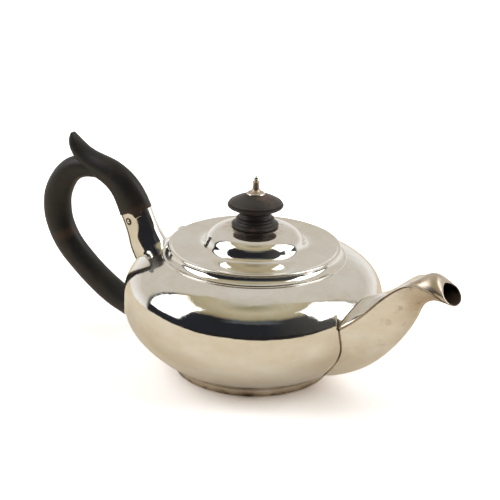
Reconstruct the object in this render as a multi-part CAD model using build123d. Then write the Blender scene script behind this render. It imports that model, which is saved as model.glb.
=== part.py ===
"""Low round silver teapot with a wooden handle and knob, built as its maker assembles it.

Axes: +X towards the spout, -X towards the handle, +Z up. The origin is the centre of the
foot's lower edge, on the surface that the pot stands on. All lengths are in millimetres.
"""

from build123d import *
import math
import os

os.makedirs("parts", exist_ok=True)

# Driving dimensions of the vessel
body_radius = 73.2          # largest radius of the bowl
belly_height = 40.0         # height of that largest radius
shoulder_height = 67.6      # top of the bowl, where the collar is soldered on
shoulder_radius = 51.2
foot_height = 4.9
foot_radius_floor = 44.4    # outer radius where the foot meets the table
foot_radius_top = 46.2
foot_wall = 1.6
foot_edge = 0.4             # bevel on both corners of the foot's lower edge
bowl_wall = 1.0
bowl_floor = 2.6            # underside of the bowl inside the foot

# Mouth, collar and lid
collar_rise = 4.1           # height of the cove moulding above the shoulder
collar_step = 3.7           # how far it closes in from the shoulder
mouth_radius = 45.4         # clear opening inside the collar
collar_wall = 1.3
lid_overhang = 1.2          # the brim stands this far out from the collar's neck
lid_gap = 0.35              # lid sits this far above the collar on its hinge
brim_thickness = 1.3
lid_wall = 1.0
dome_radius = 31.2          # where the dome rises from the brim
dome_height = 11.25         # of the crown above the brim's edge
bezel_clearance = 0.8
bezel_wall = 1.1
bezel_depth = 5.2

# Lid hinge, three knuckles on one pin
hinge_setback = 0.8         # from the lid's edge out to the pin
hinge_drop = 1.7            # from the collar's top down to the pin
hinge_length = 11.0
hinge_middle = 4.0
hinge_barrel_radius = 1.6
hinge_pin_radius = 0.7
hinge_running_clearance = 0.05
hinge_side_clearance = 0.3

# Knob on the lid
crown_flat_radius = 10.2    # of the lid, under the knob
knob_base_radius = 13.2
knob_waist_radius = 8.8
knob_disc_radius = 15.6
knob_disc_height = 12.2
knob_height = 18.55
stud_radius = 1.5
stud_clearance = 0.1
nut_side = 8.0
nut_height = 2.6
knob_washer_radius = 6.5
knob_washer_height = 0.8
finial_height = 10.4
finial_radius = 5.2

# Spout
spout_wall = 1.3
strainer_hole_radius = 1.5
strainer_pitch = 6.4
strainer_rows = 5
strainer_bottom = 24.0

# Handle and its two sockets
socket_wall = 1.1
grip_overhang = 0.35        # the wood stands this much proud of the socket
upper_tenon_length = 18.0
lower_tenon_length = 14.0
rivet_radius = 1.25
rivet_proud = 0.35

# Places that follow from those sizes
collar_top = shoulder_height + collar_rise
collar_neck_radius = shoulder_radius - collar_step
lid_radius = collar_neck_radius + lid_overhang
hinge_x = -lid_radius - hinge_setback
hinge_z = collar_top - hinge_drop


def cubic(controls, t):
    """Point of a cubic Bezier curve at t."""
    u = 1 - t
    weights = (u**3, 3 * u * u * t, 3 * u * t * t, t**3)
    return tuple(sum(w * p[k] for w, p in zip(weights, controls)) for k in (0, 1))


def parallel(points, distance):
    """Points moved sideways by a distance, to the left of the direction of travel."""
    moved = []
    for i, (r, z) in enumerate(points):
        before = points[max(i - 1, 0)]
        after = points[min(i + 1, len(points) - 1)]
        dr, dz = after[0] - before[0], after[1] - before[1]
        length = math.hypot(dr, dz)
        moved.append((r - dz / length * distance, z + dr / length * distance))
    return moved


def upright(point):
    """A profile point (radius, height) as a point of the XZ plane."""
    return (point[0], 0, point[1])


def turned(*edges):
    """Solid of revolution about Z from the closed profile that the edges bound."""
    return revolve(make_face(Wire(edges)), Axis.Z)


def polyline(*points):
    """Straight edges through profile points."""
    corners = [upright(p) for p in points]
    return [Line(a, b) for a, b in zip(corners, corners[1:])]


def curve(points, start=None, end=None):
    """Smooth edge through profile points, with the directions at its two ends if given."""
    tangents = [upright(d) for d in (start, end)] if start else None
    return Spline(*[upright(p) for p in points], tangents=tangents)


def write(shape, node):
    """Write one sub-part."""
    shape.label = node
    export_step(shape, f"parts/{node}.step")


# Bowl: raised from one disc of sheet, so the wall is even from the floor to the shoulder
floor_radius = foot_radius_top - 12.0
bowl_curves = [
    [(floor_radius, bowl_floor), (foot_radius_top - 5, bowl_floor),
     (foot_radius_top - 2.6, bowl_floor + 0.4), (foot_radius_top + 0.2, foot_height)],
    [(foot_radius_top + 0.2, foot_height), (body_radius - 6.4, 18.5),
     (body_radius, belly_height - 11), (body_radius, belly_height)],
    [(body_radius, belly_height), (body_radius, belly_height + 6),
     (body_radius + 2.2, shoulder_height - 7.8), (shoulder_radius, shoulder_height)],
]


def bowl_line(samples=14):
    """Points along the outside of the bowl, from the floor to the shoulder."""
    line = [(0.0, bowl_floor), (floor_radius / 2, bowl_floor)]
    for controls in bowl_curves:
        line += [cubic(controls, i / samples) for i in range(samples)]
    return line + [bowl_curves[-1][-1]]


outer_line = bowl_line()
inner_line = parallel(outer_line, bowl_wall)
inner_line[0] = (0.0, bowl_floor + bowl_wall)
bowl_outside = polyline((0, bowl_floor), (floor_radius, bowl_floor)) + [
    Bezier(*[upright(p) for p in controls]) for controls in bowl_curves
]
bowl_mass = turned(
    *bowl_outside,
    *polyline(outer_line[-1], (0, shoulder_height), (0, bowl_floor)),
)
body_bowl = turned(
    *bowl_outside,
    *polyline(outer_line[-1], inner_line[-1]),
    curve(inner_line[1:], (1, 0), (-1, 0.31)),
    *polyline(inner_line[1], inner_line[0], (0, bowl_floor)),
)


def outside_radius(height):
    """Radius of the bowl's outer surface at a height above the foot."""
    for (r0, z0), (r1, z1) in zip(outer_line[2:], outer_line[3:]):
        if z0 <= height <= z1:
            return r0 + (r1 - r0) * (height - z0) / (z1 - z0)
    return shoulder_radius


def strainer():
    """Drills for the strainer, in staggered rows along +X."""
    drills = []
    for row in range(strainer_rows):
        count = 4 + row % 2
        height = strainer_bottom + row * strainer_pitch * math.sin(math.radians(60))
        for i in range(count):
            y = (i - (count - 1) / 2) * strainer_pitch
            drill = Cylinder(strainer_hole_radius, 40, rotation=(0, 90, 0))
            drills.append(Pos(outside_radius(height), y, height) * drill)
    return drills


body_bowl = body_bowl - strainer()

# Foot: a drawn ring soldered under the bowl, with a narrow flat lower edge to stand on
foot_inner = foot_radius_floor - foot_wall
foot_ring = turned(*polyline(
    (foot_inner, foot_edge),
    (foot_radius_top - foot_wall, foot_height + 2),
    (foot_radius_top, foot_height + 2),
    (foot_radius_floor, foot_edge),
    (foot_radius_floor - foot_edge, 0),
    (foot_inner + foot_edge, 0),
    (foot_inner, foot_edge),
))
foot_ring = foot_ring - bowl_mass

# Collar: a cove moulding between the shoulder and the mouth, turned down inside as a seat
cove = [
    (shoulder_radius, shoulder_height),
    (collar_neck_radius + 1.1, collar_top - 2.5),
    (collar_neck_radius, collar_top),
]
collar_skirt = shoulder_height - 1.4
collar_under = collar_top - collar_wall
mouth_collar = turned(
    ThreePointArc(*[upright(p) for p in cove]),
    *polyline(cove[-1], (mouth_radius, collar_top), (mouth_radius, collar_skirt)),
    *polyline((mouth_radius, collar_skirt), (shoulder_radius - 1.5, collar_skirt)),
    *polyline((shoulder_radius - 1.5, collar_skirt), cove[0]),
)
mouth_collar = mouth_collar - body_bowl

# Lid: brim and dome from one sheet, with a bezel ring that drops into the mouth
brim_under = collar_top + lid_gap
brim_top = brim_under + brim_thickness
lid_crown = brim_top + dome_height
lid_edge = lid_radius - brim_thickness / 2
stud_hole_radius = stud_radius + stud_clearance
lid_line = [
    (dome_radius + 2.8, brim_top - 0.55),
    (dome_radius, brim_top - 0.25),
    (dome_radius - 1.9, brim_top + 0.55),
    (dome_radius - 3.1, brim_top + 1.95),
    (dome_radius - 3.8, brim_top + 3.45),
    (dome_radius - 4.6, brim_top + 5.05),
    (dome_radius - 5.9, brim_top + 6.65),
    (dome_radius - 7.7, lid_crown - 3.1),
    (dome_radius - 10.2, lid_crown - 1.9),
    (dome_radius - 14.2, lid_crown - 0.7),
    (crown_flat_radius + 2.8, lid_crown - 0.12),
    (crown_flat_radius, lid_crown),
]
lid_under = parallel(lid_line, lid_wall)
lid_under[-1] = (crown_flat_radius, lid_crown - lid_wall)
lid_cover = turned(
    *polyline((lid_edge, brim_top), lid_line[0]),
    curve(lid_line, (-1, 0), (-1, 0)),
    *polyline(
        lid_line[-1], (stud_hole_radius, lid_crown), (stud_hole_radius, lid_crown - lid_wall),
        lid_under[-1],
    ),
    curve(lid_under[::-1], (1, 0), (1, 0)),
    *polyline(lid_under[0], (mouth_radius, brim_under), (lid_edge, brim_under)),
    ThreePointArc(
        upright((lid_edge, brim_under)),
        upright((lid_radius, brim_under + brim_thickness / 2)),
        upright((lid_edge, brim_top)),
    ),
)
bezel_radius = mouth_radius - bezel_clearance
lid_bezel = Pos(0, 0, collar_top - bezel_depth) * (
    Cylinder(bezel_radius, bezel_depth + 2, align=(Align.CENTER, Align.CENTER, Align.MIN))
    - Cylinder(
        bezel_radius - bezel_wall, bezel_depth + 2, align=(Align.CENTER, Align.CENTER, Align.MIN)
    )
)
lid_bezel = (lid_bezel - lid_cover).solids().sort_by(Axis.Z)[0]

# Knob: turned wood, held by a silver finial whose stud passes through it and the lid
knob_floor = lid_crown
knob_bead = knob_waist_radius + 1.9
knob_disc = knob_floor + knob_disc_height
knob_line = [
    (knob_base_radius - 0.4, knob_floor),
    (knob_base_radius, knob_floor + 0.7),
    (knob_base_radius - 0.9, knob_floor + 1.7),
    (knob_bead + 0.4, knob_floor + 2.6),
    (knob_bead, knob_floor + 3.6),
    (knob_bead - 0.4, knob_floor + 4.7),
    (knob_waist_radius + 0.2, knob_floor + 5.8),
    (knob_waist_radius, knob_floor + 6.7),
    (knob_waist_radius + 0.7, knob_floor + 8.1),
    (knob_disc_radius - 4.0, knob_disc - 2.7),
    (knob_disc_radius - 1.3, knob_disc - 1.3),
    (knob_disc_radius, knob_disc),
    (knob_disc_radius - 0.9, knob_disc + 1.5),
    (knob_disc_radius - 3.6, knob_disc + 3.6),
    (finial_radius, knob_floor + knob_height - 0.2),
]
knob_top = knob_floor + knob_height
knob_button = turned(
    curve(knob_line),
    *polyline(
        knob_line[-1], (stud_hole_radius, knob_line[-1][1]), (stud_hole_radius, knob_floor),
        knob_line[0],
    ),
)

finial_line = [
    (finial_radius, 0.7),
    (2.6, 1.7),
    (1.5, 3.4),
    (1.35, 4.6),
    (1.75, 5.6),
    (1.9, 6.6),
    (1.3, 7.9),
    (1.0, 8.5),
    (1.55, 9.2),
    (1.25, 10.0),
    (0, 10.4),
]
finial_seat = knob_top - 0.2
finial_points = [(r, finial_seat + z * finial_height / 10.4) for r, z in finial_line]
stud_end = knob_floor - lid_wall - knob_washer_height - nut_height - 1.5
knob_finial = turned(
    *polyline((finial_radius, finial_seat), finial_points[0]),
    curve(finial_points),
    *polyline(
        finial_points[-1], (0, stud_end), (stud_radius, stud_end), (stud_radius, finial_seat),
        (finial_radius, finial_seat),
    ),
)
washer_top = lid_crown - lid_wall
washer_bottom = washer_top - knob_washer_height
knob_washer = turned(*polyline(
    (stud_hole_radius, washer_bottom), (knob_washer_radius, washer_bottom),
    (knob_washer_radius, washer_top), (stud_hole_radius, washer_top),
    (stud_hole_radius, washer_bottom),
))
knob_nut = Pos(0, 0, washer_bottom - nut_height) * Box(
    nut_side, nut_side, nut_height, align=(Align.CENTER, Align.CENTER, Align.MIN)
)
knob_nut = knob_nut - Pos(0, 0, knob_floor) * Cylinder(stud_radius, 80)


# Hinge: two knuckles in the collar's cove, one under the lid's edge, and a pin through all
def barrel(radius, start, end):
    """Cylinder on the hinge axis between two Y positions."""
    rod = Cylinder(radius, end - start, rotation=(-90, 0, 0))
    return Pos(hinge_x, (start + end) / 2, hinge_z) * rod


half_length = hinge_length / 2
half_middle = hinge_middle / 2
inner_end = half_middle + hinge_side_clearance
pin_bore = barrel(hinge_pin_radius, -hinge_length, hinge_length)
lid_bore = barrel(hinge_pin_radius + hinge_running_clearance, -hinge_length, hinge_length)
seat_width = 1.5 * hinge_barrel_radius
seat_height = hinge_z - shoulder_height + 1.0
knuckles = []
for side in (-1, 1):
    start, end = sorted((side * inner_end, side * half_length))
    seat = Pos(hinge_x, (start + end) / 2, hinge_z - seat_height / 2) * Box(
        seat_width, end - start, seat_height
    )
    knuckle = barrel(hinge_barrel_radius, start, end) + seat
    knuckles.append((knuckle - pin_bore - bowl_mass - mouth_collar).solids().sort_by(Axis.Z)[-1])
hinge_body_knuckles = Compound(children=knuckles)

# The lid's knuckle is a tab round the brim's edge; the cove is notched to let it swing
tab_inner = -lid_radius + 0.8
tab_outer = hinge_x - hinge_barrel_radius + 0.3
tab_outline = [
    (tab_inner, hinge_z),
    (tab_inner, brim_top),
    (tab_outer + 0.9, brim_top),
    (tab_outer, brim_under + 0.3),
    (tab_outer, hinge_z),
]
tab_face = make_face(Polyline(*[upright(p) for p in tab_outline], close=True))
tab = extrude(tab_face, half_middle, both=True)
tab_reach = math.hypot(tab_inner - hinge_x, collar_top - hinge_z)
notch_radius = max(tab_reach, hinge_barrel_radius) + hinge_side_clearance
mouth_collar = mouth_collar - barrel(notch_radius, -inner_end, inner_end)
hinge_lid_knuckle = barrel(hinge_barrel_radius, -half_middle, half_middle) + tab
hinge_lid_knuckle = hinge_lid_knuckle - lid_bore - lid_cover
hinge_lid_knuckle = hinge_lid_knuckle.solids().sort_by(SortBy.VOLUME)[-1]
hinge_pin = barrel(hinge_pin_radius, -half_length - 0.4, half_length + 0.4)

# Spout: an upper and a lower shell, stamped and soldered along a crest on each side.
# Each station is (top point, bottom point, share of the way down of the widest place, half
# width); its points are (distance out from the belly, height). The crest drops below the
# widest place towards the tip, so the upper shell wraps round the mouth.
spout_stations = [
    ((-10.7, 53.0), (-25.7, 7.6), 0.27, 28.4),
    ((-2.6, 57.2), (-12.7, 10.6), 0.21, 25.6),
    ((6.4, 61.6), (2.6, 18.8), 0.13, 20.6),
    ((14.2, 66.2), (14.8, 30.8), 0.02, 15.6),
    ((20.5, 71.6), (23.4, 42.6), 0.015, 11.5),
    ((25.6, 74.7), (28.6, 52.4), 0.03, 9.5),
    ((30.4, 77.8), (31.7, 60.0), 0.16, 8.8),
    ((34.7, 80.2), (35.8, 64.6), 0.35, 8.7),
    ((38.4, 81.0), (40.6, 66.8), 0.46, 8.8),
    ((41.1, 79.9), (46.2, 67.0), 0.50, 8.9),
    ((43.1, 77.8), (52.1, 66.4), 0.50, 8.8),
]
crest_flange = [0.0, 0.1, 0.3, 0.5, 0.7, 0.8, 0.9, 1.0, 1.0, 0.6, 0.1]
crest_drop = [0, 0, 0, 0, 0, 0, 0, 2, 6, 20, 40]     # degrees round the oval
arch_power = 1.5            # below 2 gives the upper shell its pinched shoulders
keel_power = 2.3            # above 2 gives the lower shell its full U
section_samples = 8


def oval_run(width, rise, fall, start, end):
    """Points (sideways, upwards) of a superellipse between two angles from its widest place:
    rise and fall are its heights above and below that place."""
    points = []
    for i in range(section_samples + 1):
        angle = math.radians(start + (end - start) * i / section_samples)
        c, s = math.cos(angle), math.sin(angle)
        s = 0.0 if abs(s) < 1e-9 else s
        power, height = (arch_power, rise) if s >= 0 else (keel_power, fall)
        sideways = math.copysign(abs(c) ** (2 / power), c) * width
        points.append((sideways, math.copysign(abs(s) ** (2 / power), s) * height))
    return points


def spout_band(station, flange, drop, sign):
    """Wire round the wall of one shell at one station; sign is 1 above and -1 below."""
    top, bottom, share, width = station
    length = math.dist(top, bottom)
    down = ((bottom[0] - top[0]) / length, (bottom[1] - top[1]) / length)
    rise, fall = length * share, length * (1 - share)
    centre = (body_radius + top[0] + down[0] * rise, top[1] + down[1] * rise)
    span = (-drop, sign * 180 + drop)

    def place(points):
        return [(centre[0] - down[0] * v, u, centre[1] - down[1] * v) for u, v in points]

    proud = flange if sign > 0 else 0
    outside = place(oval_run(width + proud, rise, fall, *span))
    inside = place(oval_run(width - spout_wall, rise - spout_wall, fall - spout_wall, *span))
    return Wire([
        Spline(*outside),
        Line(outside[-1], inside[-1]),
        Spline(*inside[::-1]),
        Line(inside[0], outside[0]),
    ])


def spout_shell(sign):
    """One shell of the spout, trimmed where it meets the bowl."""
    stations = zip(spout_stations, crest_flange, crest_drop)
    bands = [spout_band(*station, sign) for station in stations]
    shell = Solid.make_loft(bands) - bowl_mass
    return shell.solids().sort_by(SortBy.VOLUME)[-1]


spout_lower_shell = spout_shell(-1)
spout_upper_shell = spout_shell(1) - spout_lower_shell
spout_upper_shell = spout_upper_shell.solids().sort_by(SortBy.VOLUME)[-1]


# Handle sockets: hollow oval tubes of sheet, soldered to the bowl at their flared ends
def oval(out, z, angle, in_plane, sideways):
    """Oval wire centred out from the belly, its longer axis in the XZ plane at an angle."""
    a = math.radians(angle)
    frame = Plane(origin=(-body_radius - out, 0, z), x_dir=(math.cos(a), 0, math.sin(a)), z_dir=(
        -math.sin(a), 0, math.cos(a)
    ))
    return frame * Ellipse(in_plane, sideways)


def tube(stations, grow=0.0):
    """Loft through oval stations, all grown by a margin."""
    return loft([oval(out, z, a, p + grow, s + grow) for out, z, a, p, s in stations])


# Each station is (distance out from the belly towards -X, height, angle of the longer axis
# from +X, half size in plane, half size sideways)
upper_socket_stations = [
    (8.6, 77.1, 25.3, 10.5, 7.0),
    (6.1, 71.8, 25.3, 10.5, 7.0),
    (3.2, 65.2, 28.0, 10.8, 7.4),
    (-0.8, 57.4, 34.0, 11.9, 8.8),
    (-11.2, 43.0, 52.0, 12.6, 10.4),
]
lower_socket_stations = [
    (12.6, 16.9, 75.0, 8.0, 6.4),
    (7.8, 15.6, 79.0, 8.0, 6.4),
    (-0.2, 14.4, 87.0, 8.3, 6.9),
    (-11.2, 14.6, 96.0, 8.9, 8.1),
    (-26.2, 17.5, 100.0, 8.4, 8.8),
]


def socket_frame(stations):
    """Plane across a socket's mouth: x runs along the longer axis, z out of the mouth."""
    out, z, angle = stations[0][:3]
    a = math.radians(angle)
    return Plane(
        origin=(-body_radius - out, 0, z),
        x_dir=(math.cos(a), 0, math.sin(a)),
        z_dir=(-math.sin(a), 0, math.cos(a)),
    )


def rim_cutter(stations, grow=0.0):
    """Block above a socket's shaped rim: a high lobe round the rivet, a dip, a small tab."""
    frame = socket_frame(stations)
    half = stations[0][3]
    dip = -4.6
    outline = [
        (-half - 14, 30), (-half - 14, -0.5), (-half * 0.05, -0.5), (half * 0.2, -2.0),
        (half * 0.28, dip), (half * 0.66, dip + 0.5), (half * 0.74, -1.2), (half + 14, -1.2),
        (half + 14, 30),
    ]
    corners = [frame.from_local_coords(Vector(u, 0, v + grow)) for u, v in outline]
    return extrude(make_face(Polyline(*corners, close=True)), 30, both=True)


def socket_shell(stations):
    """Hollow socket trimmed to the bowl and to its shaped rim."""
    shell = tube(stations) - tube(stations, -socket_wall) - bowl_mass - rim_cutter(stations)
    return shell.solids().sort_by(SortBy.VOLUME)[-1]


upper_handle_socket = socket_shell(upper_socket_stations)
lower_handle_socket = socket_shell(lower_socket_stations)

# Grip: one piece of dark wood; a short branch rises from the upper socket and curls up as a
# thumb-piece, and the main loop springs from under it and comes round to the lower socket
branch_stations = [
    (6.1, 71.8, 25.3, 10.5 + grip_overhang, 7.0 + grip_overhang),
    (8.2, 76.2, 25.3, 10.5 + grip_overhang, 7.0 + grip_overhang),
    (12.2, 84.0, 30.0, 10.4, 7.2),
    (18.3, 91.4, 47.0, 9.4, 6.9),
    (27.2, 96.8, 66.0, 8.3, 6.6),
    (37.0, 99.9, 72.0, 7.3, 6.3),
    (45.4, 104.0, 58.0, 6.0, 5.8),
    (50.8, 109.0, 40.0, 4.5, 5.2),
    (53.3, 113.2, 24.0, 2.5, 4.0),
    (54.0, 116.6, 12.0, 0.7, 1.6),
]
loop_stations = [
    (30.8, 97.4, 82.0, 6.0, 5.6),
    (42.3, 97.6, 96.0, 6.6, 6.0),
    (53.2, 94.2, 122.0, 7.2, 6.4),
    (61.0, 86.4, 148.0, 8.0, 6.7),
    (65.7, 76.6, 168.0, 8.8, 6.9),
    (66.5, 68.0, 179.0, 9.2, 7.0),
    (65.2, 59.4, 192.0, 9.2, 7.0),
    (59.2, 47.8, 215.0, 9.0, 6.9),
    (49.1, 37.8, 230.0, 8.7, 6.8),
    (37.2, 28.8, 238.0, 8.6, 6.8),
    (25.4, 21.9, 246.0, 8.5, 6.8),
    (17.8, 18.8, 250.0, 8.0 + grip_overhang, 6.4 + grip_overhang),
    (7.8, 15.6, 256.0, 8.0 + grip_overhang, 6.4 + grip_overhang),
]


def tenon(stations, length):
    """Wood inside a socket, from its mouth down to a length below it or to the bowl."""
    core = tube(stations, -socket_wall) - bowl_mass
    frame = socket_frame(stations)
    keep = frame * Pos(0, 0, -length / 2) * Box(60, 60, length)
    return core & keep


def grip_end(stations):
    """Space that the grip's wood keeps to at one end: everything above the socket's rim."""
    frame = socket_frame(stations)
    below = frame * Pos(0, 0, -20) * Box(60, 60, 40)
    return below - rim_cutter(stations)


handle_grip = tube(branch_stations) + tube(loop_stations)
handle_grip = handle_grip - grip_end(upper_socket_stations) - grip_end(lower_socket_stations)
handle_grip = handle_grip.solids().sort_by(SortBy.VOLUME)[-1]
handle_grip = handle_grip + tenon(upper_socket_stations, upper_tenon_length)
handle_grip = handle_grip + tenon(lower_socket_stations, lower_tenon_length)
handle_grip = handle_grip - upper_handle_socket - lower_handle_socket


def rivet_at(stations, along, down):
    """Rivet through a socket and its tenon, parallel to Y, measured from the mouth's centre."""
    place = socket_frame(stations).from_local_coords(Vector(along, 0, -down))
    half = stations[0][4] + rivet_proud
    rod = Cylinder(rivet_radius, 2 * half, rotation=(90, 0, 0))
    return Pos(place.X, 0, place.Z) * rod


upper_socket_rivet = rivet_at(upper_socket_stations, -2.6, 5.0)
lower_socket_rivet = rivet_at(lower_socket_stations, -2.0, 5.0)
upper_handle_socket = upper_handle_socket - upper_socket_rivet
lower_handle_socket = lower_handle_socket - lower_socket_rivet
handle_grip = handle_grip - upper_socket_rivet - lower_socket_rivet

for node, shape in {
    "body_bowl": body_bowl,
    "foot_ring": foot_ring,
    "mouth_collar": mouth_collar,
    "spout_upper_shell": spout_upper_shell,
    "spout_lower_shell": spout_lower_shell,
    "upper_handle_socket": upper_handle_socket,
    "lower_handle_socket": lower_handle_socket,
    "upper_socket_rivet": upper_socket_rivet,
    "lower_socket_rivet": lower_socket_rivet,
    "handle_grip": handle_grip,
    "hinge_body_knuckles": hinge_body_knuckles,
    "hinge_pin": hinge_pin,
    "hinge_lid_knuckle": hinge_lid_knuckle,
    "lid_cover": lid_cover,
    "lid_bezel": lid_bezel,
    "knob_button": knob_button,
    "knob_finial": knob_finial,
    "knob_washer": knob_washer,
    "knob_nut": knob_nut,
}.items():
    write(shape, node)
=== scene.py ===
import bmesh
import bpy
import math
import numpy as np
from mathutils import Matrix, Vector


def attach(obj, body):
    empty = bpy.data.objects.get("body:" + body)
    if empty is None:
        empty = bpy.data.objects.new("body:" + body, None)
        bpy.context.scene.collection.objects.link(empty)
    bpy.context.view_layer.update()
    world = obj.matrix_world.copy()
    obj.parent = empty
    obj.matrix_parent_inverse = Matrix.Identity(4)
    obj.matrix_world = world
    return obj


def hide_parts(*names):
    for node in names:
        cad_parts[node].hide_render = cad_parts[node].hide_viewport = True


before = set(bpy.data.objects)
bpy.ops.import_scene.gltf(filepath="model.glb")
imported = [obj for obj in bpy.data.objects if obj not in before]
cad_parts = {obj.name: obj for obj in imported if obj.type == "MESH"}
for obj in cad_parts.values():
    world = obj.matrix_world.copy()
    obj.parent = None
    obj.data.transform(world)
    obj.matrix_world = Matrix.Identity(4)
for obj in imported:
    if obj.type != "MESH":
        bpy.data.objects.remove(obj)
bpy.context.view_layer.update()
MM = 0.001


# ---------------------------------------------------------------- studio
# A long lens looks slightly down on the pot from the spout's side. The pot stands on a pale
# table whose near edge is a hand's breadth away, with a soft light at each side, a pale sweep
# behind it and a dark room behind the camera, all of which the polished silver mirrors.
camera_place = Vector((0.41899, -0.69733, 0.37860))
camera_look = Vector((-0.4815, 0.8013, -0.3550)).normalized()
camera_roll = math.radians(1.524)
level = camera_look.cross(Vector((0, 0, 1))).normalized()
upward = level.cross(camera_look)
camera_up = upward * math.cos(camera_roll) - level * math.sin(camera_roll)
camera_right = level * math.cos(camera_roll) + upward * math.sin(camera_roll)
lens = bpy.data.cameras.new("studio_camera")
lens.sensor_width = 36.0
lens.lens = 111.47
lens.shift_x = -0.00858
lens.clip_start, lens.clip_end = 0.05, 60
camera = bpy.data.objects.new("studio_camera", lens)
camera.matrix_world = Matrix((
    (camera_right.x, camera_up.x, -camera_look.x, camera_place.x),
    (camera_right.y, camera_up.y, -camera_look.y, camera_place.y),
    (camera_right.z, camera_up.z, -camera_look.z, camera_place.z),
    (0, 0, 0, 1),
))
bpy.context.scene.collection.objects.link(camera)
bpy.context.scene.camera = camera
bpy.context.scene.view_settings.view_transform = "Standard"
bpy.context.scene.view_settings.look = "None"


class Value:
    """A number inside a node tree: each operator on it adds one Math node."""

    def __init__(self, paint, socket):
        self.paint, self.socket = paint, socket

    def of(self, operation, *others):
        """This number put through one Math operation with the others."""
        return self.paint.node("ShaderNodeMath", {"operation": operation}, [self, *others])

    def __add__(self, other):
        return self.of("ADD", other)

    def __sub__(self, other):
        return self.of("SUBTRACT", other)

    def __rsub__(self, other):
        return (self * -1.0).of("ADD", other)

    def __mul__(self, other):
        return self.of("MULTIPLY", other)

    def __truediv__(self, other):
        return self.of("DIVIDE", other)

    def __pow__(self, other):
        return self.of("POWER", other)

    __radd__, __rmul__ = __add__, __mul__

    def clamped(self):
        return self.paint.node("ShaderNodeClamp", {}, [self])

    def over(self, edge, width):
        """0 below an edge and 1 above it, with a soft step of that width."""
        return ((self - edge) / width + 0.5).clamped()

    def between(self, low, high, width):
        """1 from low to high with soft ends."""
        return self.over(low, width) * (1.0 - self.over(high, width))


class Paint:
    """A node tree that is filled through one method."""

    def __init__(self, tree):
        self.tree = tree
        tree.nodes.clear()

    def node(self, kind, settings=None, values=(), output=0):
        """Adds a node, sets its settings, then its sockets from numbers, colours or links."""
        made = self.tree.nodes.new(kind)
        for key, setting in (settings or {}).items():
            setattr(made, key, setting)
        pairs = values.items() if isinstance(values, dict) else enumerate(values)
        for key, value in pairs:
            if isinstance(value, Value):
                self.tree.links.new(value.socket, made.inputs[key])
            elif value is not None:
                made.inputs[key].default_value = value
        return Value(self, made.outputs[output]) if made.outputs else None

    def axes(self, place):
        """The X, Y and Z of a place, from one node."""
        split = self.node("ShaderNodeSeparateXYZ", {}, [place]).socket.node
        return [Value(self, socket) for socket in split.outputs]

    def mix(self, share, first, second):
        """Colour mixed from first to second."""
        return self.node(
            "ShaderNodeMix", {"data_type": "RGBA"}, {0: share, 6: first, 7: second}, output=2
        )

    def noise(self, place, scale, detail=2.0, rough=0.5):
        """Smooth noise from 0 to 1, its scale in lumps per metre."""
        return self.node(
            "ShaderNodeTexNoise", {},
            {"Vector": place, "Scale": scale, "Detail": detail, "Roughness": rough},
        )


def rgb(r, g, b):
    """Linear colour from three display values of 0 to 255."""
    return tuple(
        (v / 255 / 12.92 if v <= 10 else ((v / 255 + 0.055) / 1.055) ** 2.4) for v in (r, g, b)
    ) + (1.0,)


# The room: directions are turned so that azimuth 0 points from the pot to the camera and +90
# to its right; elevation 90 is overhead. The camera itself sees plain white.
world = bpy.data.worlds.new("studio_room")
bpy.context.scene.world = world
world.use_nodes = True
room = Paint(world.node_tree)
towards = -camera_look.copy()
towards.z = 0
towards.normalize()
direction = room.node("ShaderNodeTexCoord", output=0)


def along(axis):
    """How far a direction points along an axis, from -1 to 1."""
    return room.node(
        "ShaderNodeVectorMath", {"operation": "DOT_PRODUCT"}, [direction, tuple(axis)], output=1
    )


DEG = 57.29578
azimuth = along(level).of("ARCTAN2", along(towards)) * DEG
elevation = along((0, 0, 1)).of("ARCSINE") * DEG
behind = azimuth.of("ABSOLUTE")
left_light = (
    azimuth.over(elevation * -0.43 - 96.5, 3.0) * (1.0 - azimuth.over(-67.5, 3.0))
    * elevation.between(14.5, 57.0, 3.0)
)
right_light = (azimuth.between(64.0, 107.0, 3.0) * elevation.between(24.0, 60.5, 3.0)).of(
    "MAXIMUM", azimuth.between(78.0, 107.0, 4.0) * elevation.between(13, 40, 3.0)
)
sweep = azimuth.over(111.0, 5.0).of(
    "MAXIMUM", 1.0 - azimuth.over(elevation * -0.42 - 103.0, 4.0)
)
dark = room.mix(azimuth.over(38.0, 50.0), rgb(38, 39, 43), rgb(74, 73, 70))
dark = room.mix(
    elevation.between(38.0, 52.0, 4.0) * (1.0 - behind.over(26.0, 16.0)), dark, rgb(82, 86, 88)
)
upper_wall = room.mix(elevation.over(63.0, 20.0), rgb(158, 148, 119), rgb(192, 182, 155))
dark = room.mix(elevation.over(50.5, 7.0), dark, upper_wall)
ceiling = room.mix(behind.over(95.0, 90.0), rgb(152, 144, 116), rgb(194, 188, 174))
backdrop = room.mix(elevation.over(11.0, 17.0), rgb(243, 241, 238), rgb(205, 199, 188))
seen = room.mix(sweep, dark, backdrop)
seen = room.mix(elevation.over(76.0, 14.0), seen, ceiling)
below = room.mix(behind.over(92.0, 24.0), rgb(36, 35, 36), rgb(238, 235, 231))
seen = room.mix(elevation.over(-1.0, 2.0), below, seen)
seen = room.mix(left_light.of("MAXIMUM", right_light), seen, (2.6, 2.58, 2.5, 1.0))
lit = room.node("ShaderNodeBackground", {}, [seen, 1.0])
plain = room.node("ShaderNodeBackground", {}, [(1.0, 1.0, 1.0, 1.0), 1.0])
camera_sees = room.node("ShaderNodeLightPath", output=0)
mixed = room.node("ShaderNodeMixShader", {}, [camera_sees, lit, plain])
room.node("ShaderNodeOutputWorld", {}, [mixed])


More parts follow.
